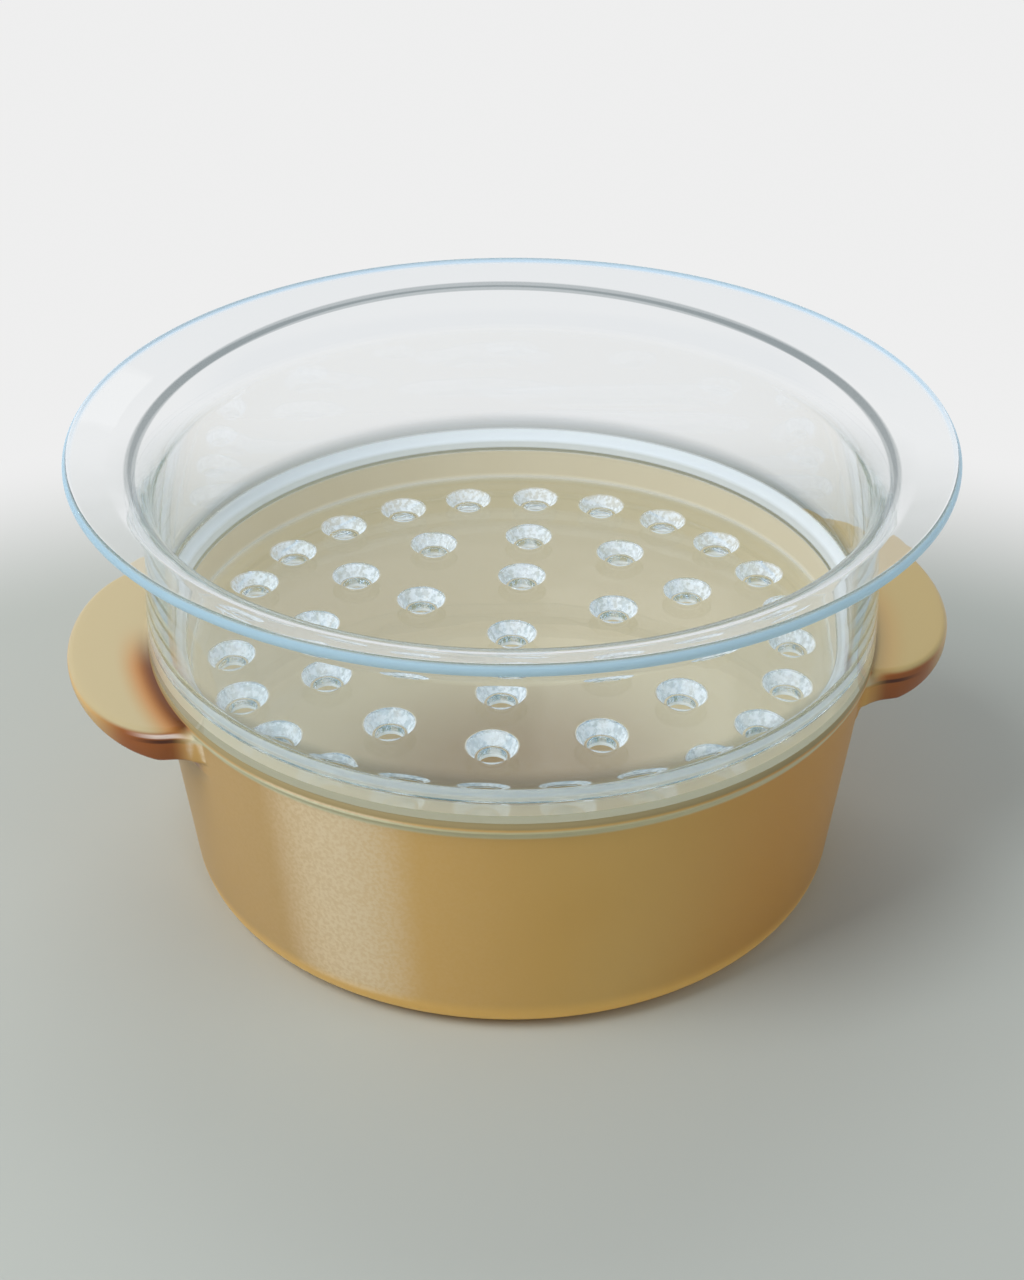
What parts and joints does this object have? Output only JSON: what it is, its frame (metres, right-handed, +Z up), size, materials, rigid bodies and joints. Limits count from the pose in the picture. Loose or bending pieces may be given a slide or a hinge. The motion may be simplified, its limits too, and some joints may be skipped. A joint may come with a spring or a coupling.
{
  "type": "steam cooker",
  "caption": "Round amber glass-ceramic cooking pot with flat lug handles, and a clear glass steamer bowl with a wide flange and a perforated floor that lifts out of its rim.",
  "frame": {"origin": "centre of the pot's flat underside", "axes": "+Z up along the axis of pot and bowl, the two lug handles on +X and -X"},
  "size_m": [0.2746, 0.264, 0.146],
  "materials": {
    "amber_glass_ceramic": "satin golden amber glass-ceramic, opaque over the body and deep amber at its edges",
    "clear_glass": "clear polished pressed glass with a faint blue edge"
  },
  "bodies": {
    "pot": {"pot": "amber_glass_ceramic"},
    "steamer_insert": {"steamer_insert": "clear_glass"}
  },
  "joints": [
    {"name": "insert_lift", "type": "slide", "parent": "pot", "child": "steamer_insert", "axis": [0, 0, 1], "range_m": [0, 0.1]}
  ]
}
